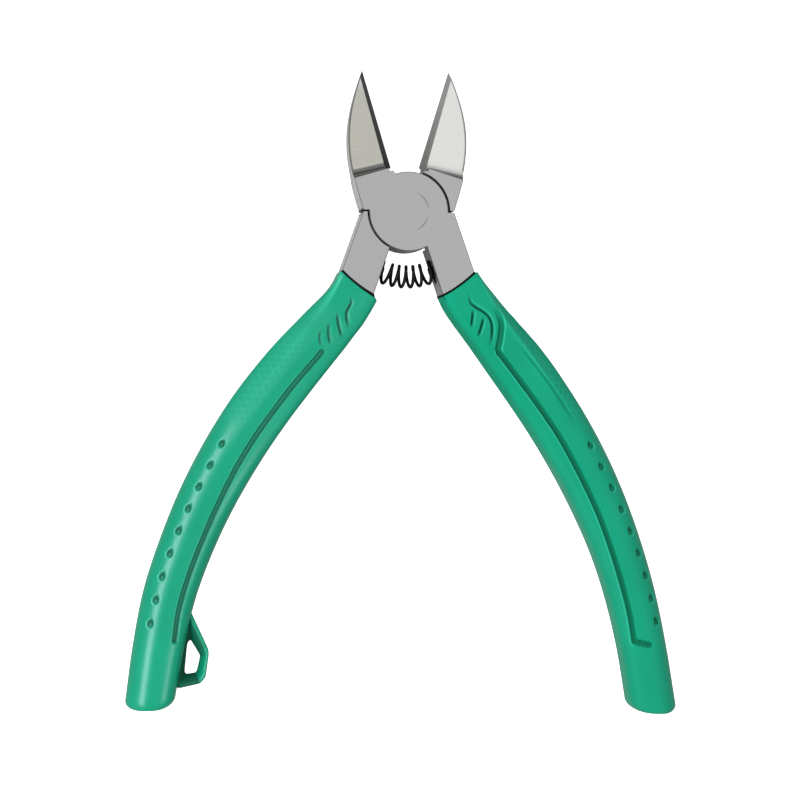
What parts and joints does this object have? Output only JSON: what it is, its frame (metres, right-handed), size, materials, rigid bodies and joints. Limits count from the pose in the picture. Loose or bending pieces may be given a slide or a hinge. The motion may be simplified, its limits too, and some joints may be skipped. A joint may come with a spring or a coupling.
{
  "type": "flush cut pliers",
  "caption": "Slim lap-jointed flush cutting pliers with ground blades, a coil return spring and curved moulded grips, one with a lanyard loop.",
  "frame": {"origin": "centre of the open tool's outline, at the height of the surface it lies on", "axes": "+Y towards the tips along the centre line, +Z out of the front face, +X to the right seen from the front"},
  "size_m": [0.1266, 0.1472, 0.0125],
  "materials": {
    "head_steel": "satin forged faces, finely ground blades",
    "rivet_steel": "ground flush with the lap",
    "spring_wire": "black oxide",
    "pin_steel": "dark oxide",
    "grip_plastic": "smooth teal green, satin"
  },
  "bodies": {
    "front_body": {"front_half": "head_steel", "pivot_rivet": "rivet_steel", "right_grip": "grip_plastic", "spring_pin_right": "pin_steel", "return_spring": "spring_wire"},
    "rear_body": {"rear_half": "head_steel", "left_grip": "grip_plastic", "spring_pin_left": "pin_steel"}
  },
  "joints": [
    {"name": "pivot", "type": "hinge", "parent": "front_body", "child": "rear_body", "pos_m": [0, 0.04066, 0.00625], "axis": [0, 0, 1], "range_deg": [0, 33.7], "stiffness_Nm_per_rad": 0.32, "springref_deg": -8.59, "deforming": ["return_spring"]}
  ]
}
